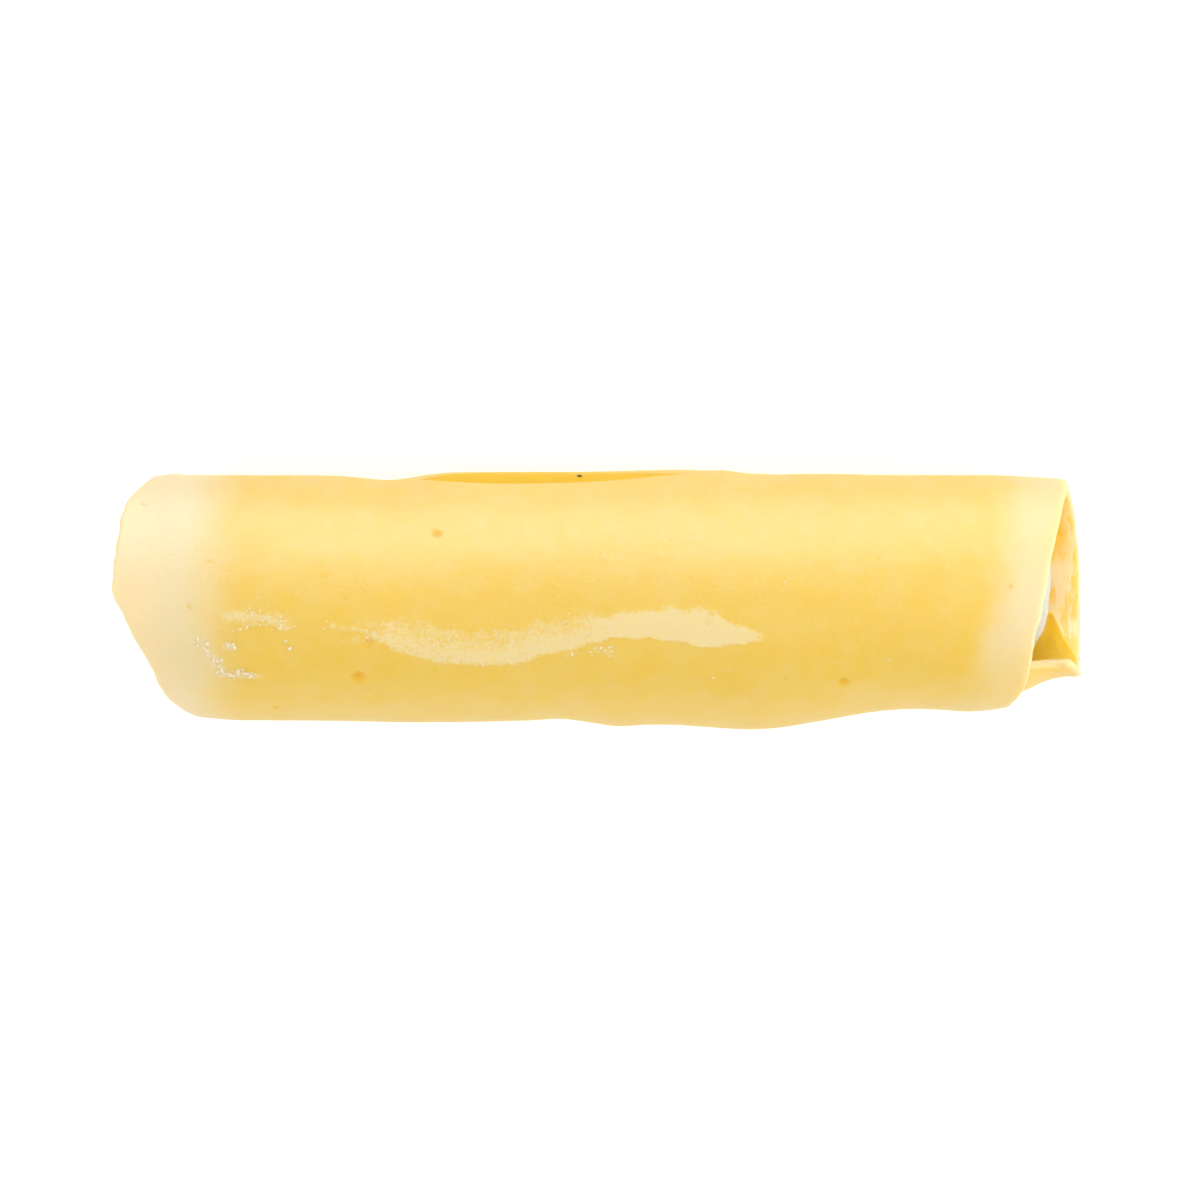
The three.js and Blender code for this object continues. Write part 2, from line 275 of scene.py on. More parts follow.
# how the flour lies. Each pair says over which values it comes in or goes out
dusting = {
    "height": (11, 13),  # of the surface: flour lies on the upper half only
    "lowerBorder": (-1.08, -0.86),  # across the streak, as a share of its half width
    "upperBorder": (0.35, 1.15),
    "leftEnd": (-27, -22),  # x
    "rightEnd": (16, 19),
    "evenFrom": (-4, 4),  # the streak is thin and patchy to the left of this, and even to the right
    "full": 0.8,  # strength of the even part
    "thin": 0.32,  # strength of the patchy part, what its patches add, and what its lower band adds
    "patches": 0.32,
    "bandMore": 0.2,
    "band": (-0.6, 0.3),
    "ragged": 0.4,  # how far noise moves the borders, and the sizes of that noise, of the patches and of the speckles
    "raggedCell": 1.3,
    "patchCell": 1.8,
    "speckleCell": 0.8,
    "smearEdge": (0.5, 1.2),
    "trailWide": 1.3,  # half width of a trail's smear for the stray of its flakes, and its margin
    "trailMargin": 0.35,
    "trailStrength": 0.62,  # of a trail with the full number of flakes or more
    "trailFull": 20,
}


def edgeInset(distance):
    # how far a face lies behind its own plane near a cut edge: a quarter circle of radius r
    r = sheetLook["edgeRound"]
    return r - np.sqrt(r * r - (r - np.clip(distance, 0, r)) ** 2)


def sheetLists():
    # the turn of each row and the place of each station as a share of the length, both finest beside the edges
    edge = np.array(sheetLook["edgeRows"])
    edgeTurns, edgeAlongs = edge / roll["perDegree"], edge / roll["length"]
    middle = [np.arange(*span) for span in sheetLook["rows"]]
    turns = np.concatenate([edgeTurns, *middle, (roll["turn"] - edgeTurns)[::-1]])
    stations = np.linspace(edgeAlongs[-1], 1 - edgeAlongs[-1], sheetLook["stations"])[1:-1]
    return turns, np.concatenate([edgeAlongs, stations, (1 - edgeAlongs)[::-1]])


def innerPicks(count, stride):
    # the first and last rows all stay, because they round the edge, and every stride-th of the rest
    keep = len(sheetLook["edgeRows"])
    return np.concatenate([np.arange(keep), np.arange(keep + stride - 1, count - keep, stride),
                           np.arange(count - keep, count)])


def pitRelief(points):
    # each pit is a bowl, depth * (1 - (d / r)^2)^roundness, with a Gaussian ring of height rim at d = rimAt * r
    relief = np.zeros(points.shape[:-1])
    stainShade = np.zeros(points.shape[:-1])
    for x, y, diameter in pits:
        centre = topPoint(np.array(float(x)), float(y))[0]
        d = np.linalg.norm(points - centre, axis=-1) / (diameter / 2)
        relief -= pitShape["depth"] * diameter * np.clip(1 - d * d, 0, 1) ** pitShape["roundness"]
        relief += pitShape["rim"] * diameter * np.exp(-(((d - pitShape["rimAt"]) / pitShape["rimSpread"]) ** 2))
        # the stain, partly painted shade, fades as sqrt(reach - d / r), and small pits are fainter
        darkness = min(1, pitShape["stainShadeLeast"] + pitShape["stainShadeMore"] * diameter)
        stainShade = np.maximum(stainShade, np.sqrt(np.clip(pitShape["stainShadeReach"] - d, 0, 1)) * darkness)
    return relief, stainShade


def lineDistance(x, y, line):
    # distance to a line of straight pieces: the nearest point of each piece is at t = clip(p . d / d . d) along it
    nearest = np.hypot(x - line[0][0], y - line[0][1])
    for (x0, y0), (x1, y1) in zip(line[:-1], line[1:]):
        t = np.clip(((x - x0) * (x1 - x0) + (y - y0) * (y1 - y0)) / ((x1 - x0) ** 2 + (y1 - y0) ** 2), 0, 1)
        nearest = np.minimum(nearest, np.hypot(x - x0 - t * (x1 - x0), y - y0 - t * (y1 - y0)))
    return nearest


def flourMask(points):
    # 1 in full flour and 0 on bare pasta. Across the streak, (y - middle) / half width runs from -1 to 1, with a crisp
    # lower border and a soft, ragged upper one; each smear is an ellipse and each trail a band along its line
    x, y = points[..., 0], markY(points)
    middle, half = smoothThrough(streakMiddle, x), smoothThrough(streakHalf, x)
    ragged = dusting["ragged"] * layeredNoise(points, dusting["raggedCell"], 11, 4)
    across = (y - middle) / np.maximum(half, 0.05)
    lower = blendStep(*dusting["lowerBorder"], across + ragged * 0.5)
    upper = 1 - blendStep(*dusting["upperBorder"], across + ragged)
    inStreak = lower * upper * blendStep(*dusting["leftEnd"], x) * (1 - blendStep(*dusting["rightEnd"], x))
    even = blendStep(*dusting["evenFrom"], x)
    patchy = 0.5 + 0.5 * layeredNoise(points, dusting["patchCell"], 23)
    low = 1 - blendStep(*dusting["band"], across)
    thin = dusting["thin"] + dusting["patches"] * patchy + dusting["bandMore"] * low
    mask = inStreak * (dusting["full"] * even + (1 - even) * thin)
    speckled = 0.75 + 0.25 * layeredNoise(points, dusting["speckleCell"], 31)
    for smearX, smearY, halfX, halfY, strength in smears:
        d = np.hypot((x - smearX) / halfX, (y - smearY) / halfY)
        patch = 1 - blendStep(*dusting["smearEdge"], d + 0.8 * ragged)
        mask = np.maximum(mask, strength * (patch * speckled))
    for line, many, stray, _ in flakeTrails:
        reach = dusting["trailWide"] * stray + dusting["trailMargin"]
        smear = 1 - blendStep(0, reach, lineDistance(x, y, line) + 0.6 * ragged)
        mask = np.maximum(mask, dusting["trailStrength"] * min(1, many / dusting["trailFull"]) * smear)
    return mask * blendStep(*dusting["height"], points[..., 2])


def cutLine(knots, turns, slowSeed, fineSeed):
    # x of a cut end at each turn: the curve through its knots + a slow wander + a fine fray
    edge = np.stack([turns * roll["perDegree"], np.zeros_like(turns), np.zeros_like(turns)], axis=-1)
    slow = sheetLook["cutWander"] * layeredNoise(edge, sheetLook["wanderCell"], slowSeed)
    fine = sheetLook["fray"] * softNoise(edge, sheetLook["frayCell"], fineSeed)
    return (smoothThrough(knots, turns) + slow + fine)[:, None]


def sheetPlaces(turns, alongs):
    # a spiral: angle = looseEdge + turn + lift - slant, and depth = wrapDepth - lip. Lift and lip die out away from the
    # loose edge, the slant grows towards the inner edge, and x is stretched near the ends to meet the cuts
    turn, along = np.meshgrid(turns, alongs, indexing="ij")
    left, right = cutLine(leftCut, turns, 41, 43), cutLine(rightCut, turns, 47, 44)
    half = roll["length"] / 2
    x = (along - 0.5) * roll["length"]
    x = x + (left + half) * (1 - blendStep(0, endReach, along)) + (right - half) * blendStep(1 - endReach, 1, along)
    lift = seamLift(x)
    lifted = lift * (1 - blendStep(0, seam["reach"], turn))
    slant = smoothThrough(slantCurve, x) * blendStep(roll["turn"] - slantReach, roll["turn"], turn)
    lip = seam["lip"] * lift / seam["most"] * (1 - blendStep(0, seam["lipReach"], turn))
    toEdges = [x - left, right - x, turn * roll["perDegree"], (roll["turn"] - turn) * roll["perDegree"]]
    return {"x": x, "turn": turn, "angle": roll["looseEdge"] + turn + lifted - slant, "lift": lift,
            "depth": wrapDepth(turn, x) - lip, "fromEdge": np.minimum.reduce(toEdges), "fromRight": right - x}


# colour fields of the sheet. Each pair says over which values a field comes in or goes out
shades = {
    "onTop": (186, 200),  # turn where the sheet goes underneath: pits, flour and the pale right end stop there
    "mottleCell": 3.5,  # of the noise that moves the borders
    "leftPale": (-45.4, -37.4),  # x, and how far noise moves it
    "leftWander": 1.2,
    "rightPale": (2.2, 8.0),  # distance from the right cut, and how far noise moves it
    "rightWander": 1.4,
    "nearSide": (95, 145),  # angle over which the right end gets less pale, and by how much
    "nearLess": 0.7,
    "farSide": (55, 85),
    "farLess": 0.35,
    "strip": 13,  # degrees that the strip of painted shade reaches out from under the loose edge where it is lifted most
    "stripBorder": (-3, 3),
    "stripEnd": (374, 382),  # turn
    "stripLift": (0.5, 2),  # lift of the loose edge
    "atLip": (-4, 1),  # angle from the loose edge's own: the painted shade is weaker outside it
    "outsideLip": 0.75,
    "lastTurn": (440, 460),  # turn
    "rimLine": (0.1, 0.4),  # distance from a cut edge
    "rimStrength": 0.45,
    "innerRimLine": (0.1, 0.45),
    "innerRimPale": 0.6,
    "innerRimCut": 0.9,
    "cutLine": (0, 0.2),
    "cutStrength": 0.7,
    "rightMouth": (40, 46),  # x
    "secondTurn": (400, 420),  # turn
    # strength of the painted shade in the hollow of the second turn
    "secondShade": 0.9,
    "farPocket": (4.2, 4.8),  # y of the near border of the painted shade in the far hollow of the right mouth
    "farShade": 0.85,
    "pocketWander": 0.3,
    "pocketCorner": (50.3, 4.5),  # x and y of a point on its slanting right border, and how far this leans
    "pocketLean": 0.12,
    "pocketSoft": (-0.2, 0.2),
    "leftShade": 0.6,  # painted shade all round the inside of the left mouth
    "toRight": (0, 30),  # x over which the left mouth's value gives way to the right mouth's
}


def outerFace(at):
    # the bare spiral raised by ripples + grain + pits + flour, and drawn in where the cut edges are rounded
    bare = rollPoint(at["x"], at["angle"], at["depth"])
    onTop = 1 - blendStep(*shades["onTop"], at["turn"])
    slow = sheetLook["ripple"] * layeredNoise(bare * sheetLook["rippleDrawn"], sheetLook["rippleCell"], 3)
    fine = sheetLook["grain"] * layeredNoise(bare, sheetLook["grainCell"], 7)
    relief, stainShade = pitRelief(bare)
    flour = flourMask(bare) * onTop
    height = slow + fine + (relief + sheetLook["flourHeight"] * flour) * onTop
    height *= blendStep(0, sheetLook["calm"], at["fromEdge"]) * blendStep(*sheetLook["calmFoot"], bare[..., 2])
    points = rollPoint(at["x"], at["angle"], at["depth"] + edgeInset(at["fromEdge"]) - height)
    return bare, points, flour, stainShade * onTop


def innerFace(at):
    # the same spiral one sheet deeper, with wrinkles drawn out round the roll and one slit, a Gaussian in x and y
    bare = rollPoint(at["x"], at["angle"], at["depth"] + roll["sheet"])
    wrinkle = sheetLook["wrinkle"] * layeredNoise(bare * sheetLook["wrinkleDrawn"], sheetLook["wrinkleCell"], 17)
    slit = sheetLook["slit"]
    slitX, slitY = (bare[..., 0] - slit["x"]) / slit["halfX"], (bare[..., 1] - slit["y"]) / slit["halfY"]
    height = wrinkle - slit["depth"] * np.exp(-slitX ** 2 - slitY ** 2)
    height *= blendStep(0, sheetLook["calm"], at["fromEdge"])
    points = rollPoint(at["x"], at["angle"], at["depth"] - edgeInset(at["fromEdge"]) + roll["sheet"] + height)
    return bare, points


def outerShades(at, mottle):
    # the pale ends go out away from the cuts; the strip of painted shade under the loose edge is a lens, whose border
    # lies at turn = 360 - strip * sqrt(lift / most); the cut edges are narrow lines
    leftPale = 1 - blendStep(*shades["leftPale"], at["x"] + shades["leftWander"] * mottle)
    rightPale = 1 - blendStep(*shades["rightPale"], at["fromRight"] + shades["rightWander"] * mottle)
    rightPale *= 1 - shades["nearLess"] * blendStep(*shades["nearSide"], at["angle"])
    rightPale *= 1 - shades["farLess"] * (1 - blendStep(*shades["farSide"], at["angle"]))
    rightPale *= 1 - blendStep(*shades["onTop"], at["turn"])
    border = 360 - shades["strip"] * np.sqrt(np.clip(at["lift"] / seam["most"], 0, 1))
    strip = blendStep(*shades["stripBorder"], at["turn"] - border) * (1 - blendStep(*shades["stripEnd"], at["turn"]))
    strip *= blendStep(*shades["stripLift"], at["lift"])
    rim = shades["rimStrength"] * (1 - blendStep(*shades["rimLine"], at["fromEdge"]))
    rim *= blendStep(*shades["lastTurn"], at["turn"])
    cut = shades["cutStrength"] * (1 - blendStep(*shades["cutLine"], at["fromEdge"]))
    cut *= blendStep(*shades["rightMouth"], at["x"])
    outside = shades["outsideLip"]
    return {
        "pale": np.maximum.reduce([leftPale, rightPale, rim]),
        "lipShade": strip * (outside + (1 - outside) * blendStep(*shades["atLip"], at["angle"] - 360)),
        "cutFace": np.maximum(rim, cut),
    }


def innerShades(at, bare, mottle):
    # the inside of the right mouth is paler with painted light that comes through the thin sheet, and its
    # hollows take painted shade: the second turn, and the far side behind a slanting border.
    # shaded = left + toRight * (right - left)
    x, y = bare[..., 0], markY(bare)
    rim = 1 - blendStep(*shades["innerRimLine"], at["fromEdge"])
    inMouth = blendStep(*shades["rightMouth"], x)
    secondTurn = blendStep(*shades["secondTurn"], at["turn"])
    cornerX, cornerY = shades["pocketCorner"]
    pastBorder = x - cornerX - shades["pocketLean"] * (y - cornerY)
    farPocket = blendStep(*shades["farPocket"], y + shades["pocketWander"] * mottle)
    farPocket *= 1 - blendStep(*shades["pocketSoft"], pastBorder)
    left = shades["leftShade"]
    right = np.maximum(shades["secondShade"] * secondTurn, shades["farShade"] * farPocket)
    shaded = left + blendStep(*shades["toRight"], x) * (right - left)
    return {
        "pale": shades["innerRimPale"] * rim,
        "litInside": inMouth * (1 - 0.5 * rim),
        "hollowShade": shaded * (1 - rim),
        "cutFace": shades["innerRimCut"] * rim * inMouth,
    }


def pastaSheet():
    # one closed solid: a fine outer face, a coarser inside face, and four cut faces that join them
    turns, alongs = sheetLists()
    at = sheetPlaces(turns, alongs)
    bare, outer, flour, stainShade = outerFace(at)
    pickT, pickL = (innerPicks(len(values), sheetLook["innerStride"]) for values in (turns, alongs))
    pick = np.ix_(pickT, pickL)
    atInner = {key: values[pick] for key, values in at.items()}
    bareInner, inner = innerFace(atInner)

    rowsO, colsO = outer.shape[:2]
    rowsI, colsI = inner.shape[:2]
    start = rowsO * colsO
    faces = gridQuads(rowsO, colsO) + gridQuads(rowsI, colsI, start, flip=True)
    faces += stitchEdges(rowsO, colsO, start, rowsI, colsI, pickT, pickL)
    points = np.concatenate([outer.reshape(-1, 3), inner.reshape(-1, 3)])

    # a field that one of the faces doesn't have is 0 there
    mottle = layeredNoise(bare, shades["mottleCell"], 53)
    outerFields = {**outerShades(at, mottle), "flour": flour, "stainShade": stainShade}
    innerFields = innerShades(atInner, bareInner, mottle[pick])
    attributes = {}
    for key in ("pale", "flour", "stainShade", "lipShade", "litInside", "hollowShade", "cutFace"):
        onOuter = outerFields.get(key, np.zeros((rowsO, colsO)))
        onInner = innerFields.get(key, np.zeros((rowsI, colsI)))
        attributes[key] = np.concatenate([onOuter.ravel(), onInner.ravel()])
    piece = makeMesh("pastaSheet", points, faces, attributes)
    # the faces of painted shade, under the loose edge and in the hollows, take the second material with less sheen
    shaded = (attributes["lipShade"] > 0.5) | (attributes["hollowShade"] > 0.5)
    piece.data.polygons.foreach_set("material_index", [int(shaded[face[0]] and shaded[face[2]]) for face in faces])
    print("pasta sheet", len(points), "points")
    return piece


def stitchEdges(rowsO, colsO, start, rowsI, colsI, pickT, pickL):
    # the four cut faces: each joins one step of the coarse inner border to the outer border's steps beside it
    outerId = np.arange(rowsO * colsO).reshape(rowsO, colsO)
    innerId = start + np.arange(rowsI * colsI).reshape(rowsI, colsI)
    borders = [
        (outerId[:, 0], innerId[:, 0], pickT, False), (outerId[:, -1], innerId[:, -1], pickT, True),
        (outerId[0], innerId[0], pickL, True), (outerId[-1], innerId[-1], pickL, False),
    ]
    faces = []
    for outerLine, innerLine, picks, flip in borders:
        for k in range(len(picks) - 1):
            face = [*outerLine[picks[k]:picks[k + 1] + 1][::-1].tolist(), int(innerLine[k]), int(innerLine[k + 1])]
            faces.append(face[::-1] if flip else face)
    return faces


sheet = pastaSheet()
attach(sheet, "root")
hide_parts("pasta_sheet")


filling = {
    "left": -43.5,
    "right": 48.45,
    "dome": 7.5,  # length over which each end rounds off
    "flatness": 2.6,  # power of the superellipse: higher is flatter
    "gap": 0.22,  # clearance to the pasta
    "stepOut": (4, 30),  # degrees past the inner edge over which the filling takes up the room of one wrap
    "slant": 0.1,  # the right end reaches further out on its far side
    "slantFrom": 25,
    "angles": 132,
    "stations": 128,
    "crumble": 0.36,  # how far crumbs stand out or in
    "crumbCell": 1.7,
    "crumbReach": 9,  # only this much of each end is crumbly: the rest is hidden
    "heart": (0, 12),  # y and z of the middle
    "inward": 0.6,  # share of each push that is turned towards the heart
}


def fillingCore():
    # a bar that fills the space inside the wraps: depth = sheet + gap + one pitch where the inner turn lies round it;
    # towards each end it shrinks by (1 - (1 - toEnd / dome)^flatness)^(1 / flatness)
    count = filling["stations"]
    ease = np.linspace(0, 1, count + 2)[1:-1]
    x = filling["left"] + (filling["right"] - filling["left"]) * (0.5 - 0.5 * np.cos(np.pi * ease))
    x, angle = np.meshgrid(x, np.linspace(0, 360, filling["angles"], endpoint=False), indexing="ij")
    turn = (angle - roll["looseEdge"]) % 360
    stepFrom, stepTo = (roll["turn"] - 360 + past for past in filling["stepOut"])
    wraps = np.maximum(roll["pitch"] * (1 - blendStep(stepFrom, stepTo, turn)), wrapDepth(turn, x))
    points = rollPoint(x, angle, wraps + roll["sheet"] + filling["gap"])
    toEnd = np.minimum(x - filling["left"], filling["right"] - x)
    inward = 1 - np.clip(toEnd / filling["dome"], 0, 1)
    dome = (1 - inward ** filling["flatness"]) ** (1 / filling["flatness"])
    axis = (profile(x, topSide) + roll["sheet"]) / 2
    points[..., 1] *= dome
    points[..., 2] = axis + (points[..., 2] - axis) * dome
    middle = (profile(np.array([filling["left"], filling["right"]]), topSide) + roll["sheet"]) / 2
    poles = np.array([[filling["left"], 0, middle[0]], [filling["right"], 0, middle[1]]])
    points = np.concatenate([points.reshape(-1, 3), poles])
    near = np.minimum(points[:, 0] - filling["left"], filling["right"] - points[:, 0])
    points[:, 0] += filling["slant"] * points[:, 1] * blendStep(filling["slantFrom"], filling["right"], points[:, 0])

    # crumbs: each coordinate is pushed by its own noise, most at the ends and mostly towards the heart
    loose = filling["crumble"] * (1 - blendStep(0, filling["crumbReach"], near))
    push = np.stack([layeredNoise(points, filling["crumbCell"], seed, 4) for seed in (61, 67, 71)], axis=-1)
    outward = np.sign(points[:, 1:] - np.array(filling["heart"]))
    push[:, 1:] -= filling["inward"] * outward * np.abs(push[:, 1:])
    points += loose[:, None] * push

    across = filling["angles"]
    index = np.arange(count * across).reshape(count, across)
    ahead = np.roll(index, -1, axis=1)
    quads = np.stack([index[:-1], index[1:], ahead[1:], ahead[:-1]], axis=-1)[..., ::-1].reshape(-1, 4).tolist()
    leftPole, rightPole = count * across, count * across + 1
    leftFan = [[leftPole, int(b), int(a)] for a, b in zip(index[0], ahead[0])]
    rightFan = [[rightPole, int(a), int(b)] for a, b in zip(index[-1], ahead[-1])]
    piece = makeMesh("fillingCore", points, quads + leftFan + rightFan)
    print("filling", len(points), "points")
    return piece


core = fillingCore()
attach(core, "root")
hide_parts("cheese_filling")


flakes = {
    "thick": 0.045,
    "sides": 10,
    "stretch": (0.65, 1.0),  # width across, as a share of the width along
    "ragged": (0.75, 1.2),  # share of the radius for each point of the rim
    "uneven": (0.7, 1.2),  # share of the thickness for each point of the upper ring
    "upperRing": 0.62,  # its width, as a share of the rim's
    "rimAt": 0.15,  # heights of the rim and of the two poles, in thicknesses
    "belowAt": -0.5,
    "aboveAt": 1.1,
    "widths": (0.5, 1.3),  # spread of the widths in a trail
    "dust": 190,  # fine specks, mostly in the left half of the streak
    "dustSize": (0.08, 0.2),
    "dustInStreak": 0.75,
    "dustAlong": (-26, 2),  # x of the specks in the streak, then x and y of the others
    "othersAlong": (-44, 38),
    "othersAcross": (-9, 9),
}
speck = {"x": -2.0, "angle": 2, "width": 0.6, "thick": 0.15}  # a dark crumb on the strip under the loose edge
# larger flakes: x, y as seen from above, width
placedFlakes = [
    (-39.4, -5.2, 0.7), (-38.9, -5.0, 0.5), (-32.9, -5.4, 0.6), (-33.3, -4.6, 0.4), (23.8, 9.3, 0.3), (19.9, 1.7, 0.3),
    (22.5, 3.8, 0.25), (31.1, -6.6, 0.35), (12.3, -8.5, 0.35), (14.1, -7.8, 0.3), (-0.3, -11.4, 0.3), (2.6, 4.3, 0.25),
]


def flakeMesh(name, centre, normal, width, thick, seed):
    # each flake is a closed lens: a pole below, a ragged rim, a smaller ring and a pole on top
    random = np.random.default_rng(seed)
    along = np.broadcast_to([1.0, 0, 0], centre.shape)
    across = np.cross(normal, along)
    sides = flakes["sides"]
    theta = np.linspace(0, 2 * np.pi, sides, endpoint=False) + random.uniform(0, 6, (len(width), 1))
    stretch = random.uniform(*flakes["stretch"], (len(width), 1))
    radius = width[:, None] / 2 * random.uniform(*flakes["ragged"], (len(width), sides))
    reachAlong, reachAcross = np.cos(theta) * radius, np.sin(theta) * radius * stretch
    reach = along[:, None] * reachAlong[..., None] + across[:, None] * reachAcross[..., None]
    lift = thick * random.uniform(*flakes["uneven"], (len(width), sides, 1))
    rim = centre[:, None] + reach + normal[:, None] * thick * flakes["rimAt"]
    ring = centre[:, None] + reach * flakes["upperRing"] + normal[:, None] * lift
    below = centre + normal * thick * flakes["belowAt"]
    above = centre + normal * thick * flakes["aboveAt"]
    points = np.concatenate([below[:, None], rim, ring, above[:, None]], axis=1)
    k = np.arange(sides)
    nextK = (k + 1) % sides
    top = 2 * sides + 1
    single = [[0, int(1 + b), int(1 + a)] for a, b in zip(k, nextK)]
    single += [[int(1 + a), int(1 + b), int(1 + sides + b), int(1 + sides + a)] for a, b in zip(k, nextK)]
    single += [[int(1 + sides + a), int(1 + sides + b), top] for a, b in zip(k, nextK)]
    faces = [[v + n * (top + 1) for v in face] for n in range(len(width)) for face in single]
    return makeMesh(name, points, faces)


def flourFlakes():
    # the placed flakes, then each trail's flakes along its line, then dust in and around the streak
    random = np.random.default_rng(97)
    placed = [placedFlakes]
    for line, many, stray, wide in flakeTrails:
        corner = np.array(line, float)
        at = np.sort(random.uniform(0, len(line) - 1, many))
        spots = np.stack([np.interp(at, np.arange(len(line)), corner[:, k]) for k in (0, 1)], axis=-1)
        spots += random.normal(0, stray, spots.shape)
        placed.append(np.column_stack([spots, wide * random.uniform(*flakes["widths"], many)]))
    placed = np.concatenate(placed)
    count = flakes["dust"]
    inStreak = random.random(count) < flakes["dustInStreak"]
    x = np.where(inStreak, random.uniform(*flakes["dustAlong"], count), random.uniform(*flakes["othersAlong"], count))
    middle, half = smoothThrough(streakMiddle, x), smoothThrough(streakHalf, x)
    spread = half * random.normal(0, 0.5, count)
    mark = np.where(inStreak, middle + spread, random.uniform(*flakes["othersAcross"], count))
    width = random.uniform(*flakes["dustSize"], count)
    x, mark, width = (np.concatenate([a, b]) for a, b in zip(placed.T, (x, mark, width)))
    print("flour flakes", len(x))
    return flakeMesh("flourFlakes", *topPoint(x, mark), width, flakes["thick"], 101)


def darkSpeck():
    # one thick flake: its normal is the step from the surface to 1 mm above it
    x, angle = np.array([speck["x"]]), np.array([speck["angle"]])
    depth = wrapDepth(360 + angle - roll["looseEdge"], x)
    centre, above = rollPoint(x, angle, depth), rollPoint(x, angle, depth - 1)
    return flakeMesh("darkSpeck", centre, above - centre, np.array([speck["width"]]), speck["thick"], 103)


dust = flourFlakes()
crumb = darkSpeck()
for piece in (dust, crumb):
    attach(piece, "root")


# pasta colours, before the light's own white sheen; some of them hold painted light and shade, as marked
pastaLook = {
    "body": (0.95, 0.595, 0.05),
    "bodyLight": (0.95, 0.62, 0.105),
    "pale": (0.94, 0.735, 0.40),
    "lipShade": (1.0, 0.555, 0.012),  # painted shade on the strip under the loose edge
    # the inside of the right mouth: paler with painted light that comes through the thin sheet
    "litInside": (0.98, 0.77, 0.41),
    "hollowShade": (1.0, 0.615, 0.025),  # painted shade in the hollows inside the mouths
    "cutFace": (0.76, 0.59, 0.28),  # the cut ends round the right mouth
    "flour": (0.95, 0.76, 0.42),
    # round the pits: partly a stain, partly painted shade where the pits lose the sheen
    "stainShade": (0.95, 0.51, 0.008),
    "roughness": 0.5,
    "dryRoughness": 0.85,  # flour and pits
    "ior": 1.6,
    "specular": 1.0,
    # the second material, on the faces of painted shade, has less sheen and light goes less deep into it
    "shadedSpecular": 0.15,
    "scatter": 0.6,
    "scatterRadius": (1.0, 0.75, 0.3),
    "scatterDepth": 0.0014,  # metres
    "shadedScatterDepth": 0.001,
    # noise: the size of its features in metres, the levels it is cut at, and how strongly it shows
    "mottleSize": 0.003,
    "mottleLevels": (0.35, 0.65),
    "streakSize": 0.0022,
    "streakSqueeze": (2.6, 0.7, 1),
    "streakLevels": (0.5, 0.6),
    "streakStrength": 0.75,
    "grainSize": 0.0004,
    "grainLevels": (0.3, 0.7),
    "grainStrength": 0.22,
    "flourLevels": (0.24, 0.7),
    "flourStrength": 0.75,
    "bumpSize": 0.00045,
    "bumpHeight": 0.0001,
    "bumpStrength": 0.42,
}


def newMaterial(name):
    # a material, its node tree and its shader
    material = bpy.data.materials.new(name)
    material.use_nodes = True
    return material, material.node_tree, material.node_tree.nodes["Principled BSDF"]


def feed(tree, value, socket):
    # a link when value is another node's output, a fixed number or colour otherwise
    if isinstance(value, bpy.types.NodeSocket):
        tree.links.new(value, socket)
    else:
        socket.default_value = (*value, 1.0) if isinstance(value, tuple) else value


def mixColour(tree, factor, first, second):
    # first at factor 0, second at factor 1. The mix node's colour sockets are numbers 6 and 7, and its result 2
    node = tree.nodes.new("ShaderNodeMix")
    node.data_type = "RGBA"
    for value, socket in ((factor, node.inputs[0]), (first, node.inputs[6]), (second, node.inputs[7])):
        feed(tree, value, socket)
    return node.outputs[2]


def attribute(tree, name):
    # the colour field of that name
    node = tree.nodes.new("ShaderNodeAttribute")
    node.attribute_name = name
    return node.outputs["Fac"]


def noise(tree, size, detail=3.0, roughness=0.55, squeeze=(1, 1, 1)):
    # noise on object coordinates with features of that size in metres, from 0 to 1; squeeze above 1 narrows them
    place = tree.nodes.new("ShaderNodeTexCoord")
    scaled = tree.nodes.new("ShaderNodeMapping")
    scaled.inputs["Scale"].default_value = squeeze
    node = tree.nodes.new("ShaderNodeTexNoise")
    node.inputs["Scale"].default_value = 1 / size
    node.inputs["Detail"].default_value = detail
    node.inputs["Roughness"].default_value = roughness
    tree.links.new(place.outputs["Object"], scaled.inputs["Vector"])
    tree.links.new(scaled.outputs["Vector"], node.inputs["Vector"])
    return node.outputs["Fac"]


def remap(tree, value, start, end, low, high):
    # low at start, high at end, and held beyond both
    node = tree.nodes.new("ShaderNodeMapRange")
    feed(tree, value, node.inputs["Value"])
    for key, number in (("From Min", start), ("From Max", end), ("To Min", low), ("To Max", high)):
        node.inputs[key].default_value = number
    return node.outputs["Result"]


def combine(tree, operation, first, second):
    # one sum, product or larger value of two outputs
    node = tree.nodes.new("ShaderNodeMath")
    node.operation = operation
    tree.links.new(first, node.inputs[0])
    tree.links.new(second, node.inputs[1])
    return node.outputs[0]


def addBump(tree, shader, height, distance, strength):
    # the surface is lit as if it rose by distance, in metres, where height is 1
    node = tree.nodes.new("ShaderNodeBump")
    node.inputs["Distance"].default_value = distance
    node.inputs["Strength"].default_value = strength
    tree.links.new(height, node.inputs["Height"])
    tree.links.new(node.outputs["Normal"], shader.inputs["Normal"])


